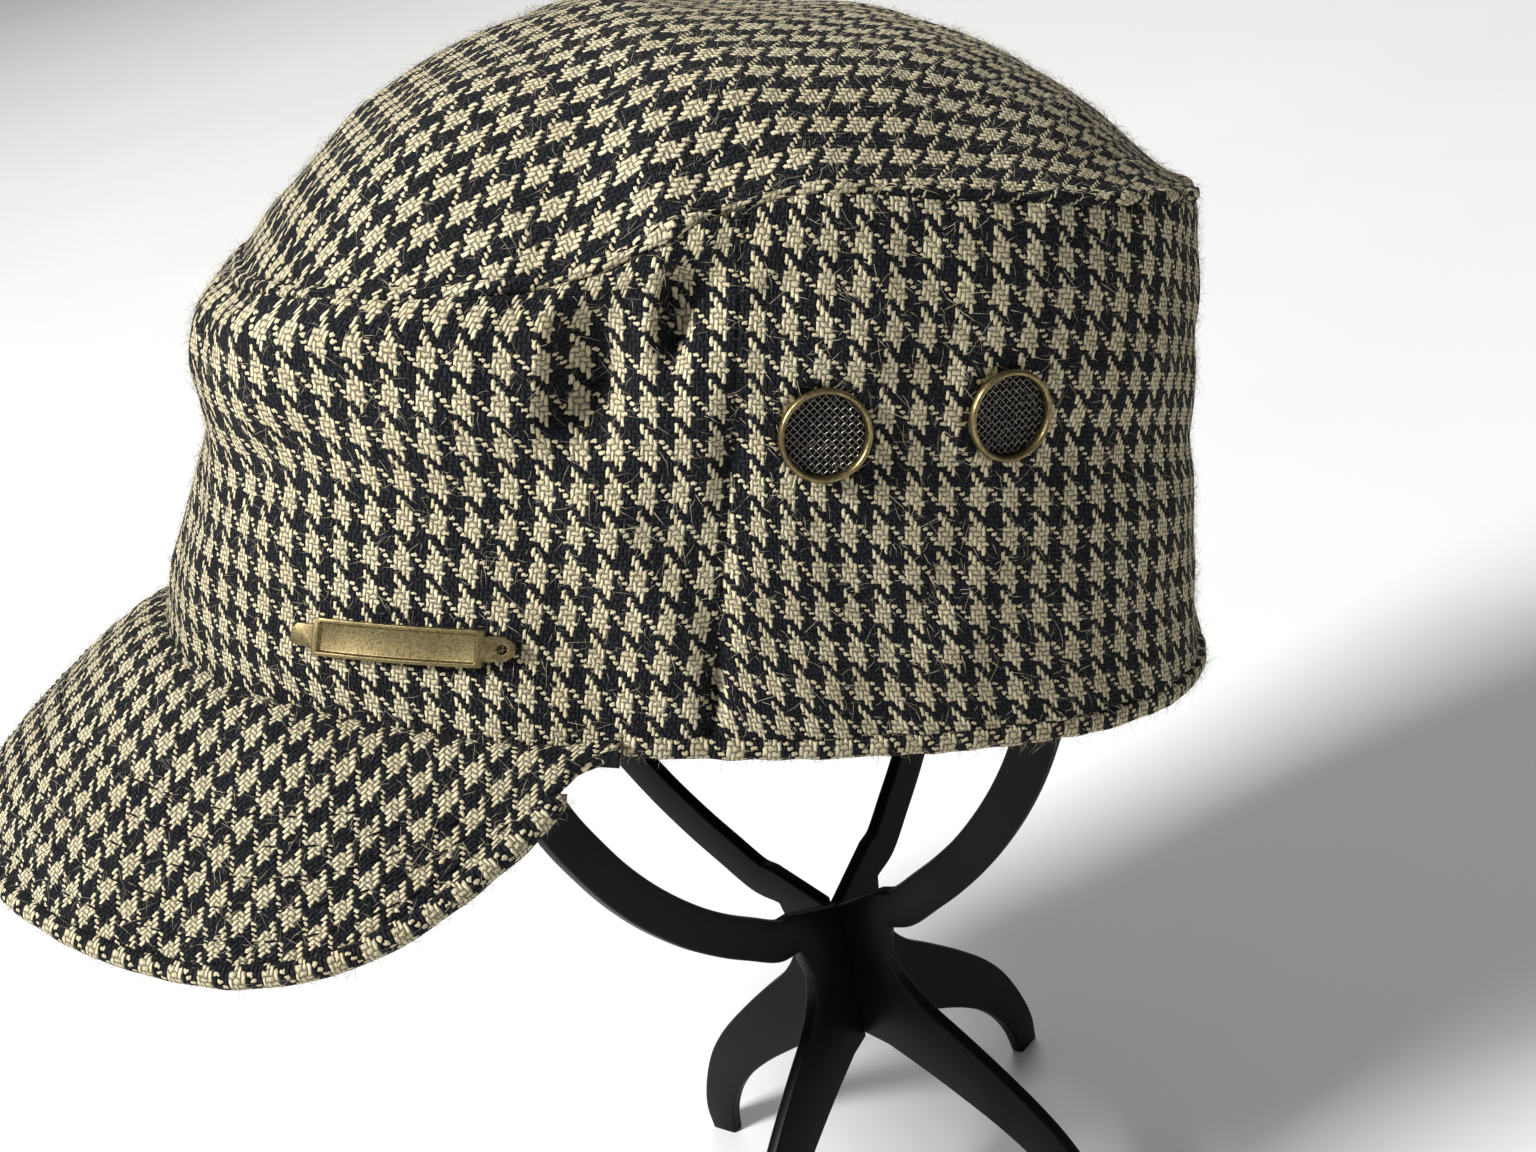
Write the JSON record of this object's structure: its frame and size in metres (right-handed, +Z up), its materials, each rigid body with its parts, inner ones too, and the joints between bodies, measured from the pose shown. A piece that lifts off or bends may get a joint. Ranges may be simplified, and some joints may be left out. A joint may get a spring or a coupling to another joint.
{
  "type": "cadet cap on a hat stand",
  "caption": "Soft houndstooth cadet cap with a bound peak, mesh side vents and a small bare metal plate, tipped back on a plain slotted stand.",
  "frame": {"origin": "middle of the bounding box, at the height of the stand's soles", "axes": "+Z up, the cap's peak towards -Y, the wearer's left towards +X"},
  "size_m": [0.1676, 0.26, 0.2795],
  "materials": {
    "houndstooth_cloth": "brushed houndstooth twill in black and straw",
    "hem_cloth": "rolled houndstooth twill",
    "antique_brass": "antiqued, darkened in the recesses",
    "screen_wire": "dark woven wire",
    "satin_black": "satin black"
  },
  "bodies": {
    "root": {"crown_top": "houndstooth_cloth", "front_panel": "houndstooth_cloth", "side_back_panel": "houndstooth_cloth", "hem_binding": "hem_cloth", "peak": "houndstooth_cloth", "peak_edge_binding": "hem_cloth", "vent_ring_1": "antique_brass", "vent_ring_2": "antique_brass", "vent_ring_3": "antique_brass", "vent_ring_4": "antique_brass", "vent_screen_1": "screen_wire", "vent_screen_2": "screen_wire", "vent_screen_3": "screen_wire", "vent_screen_4": "screen_wire", "name_plate": "antique_brass", "stand_plate_a": "satin_black", "stand_plate_b": "satin_black"}
  },
  "joints": []
}
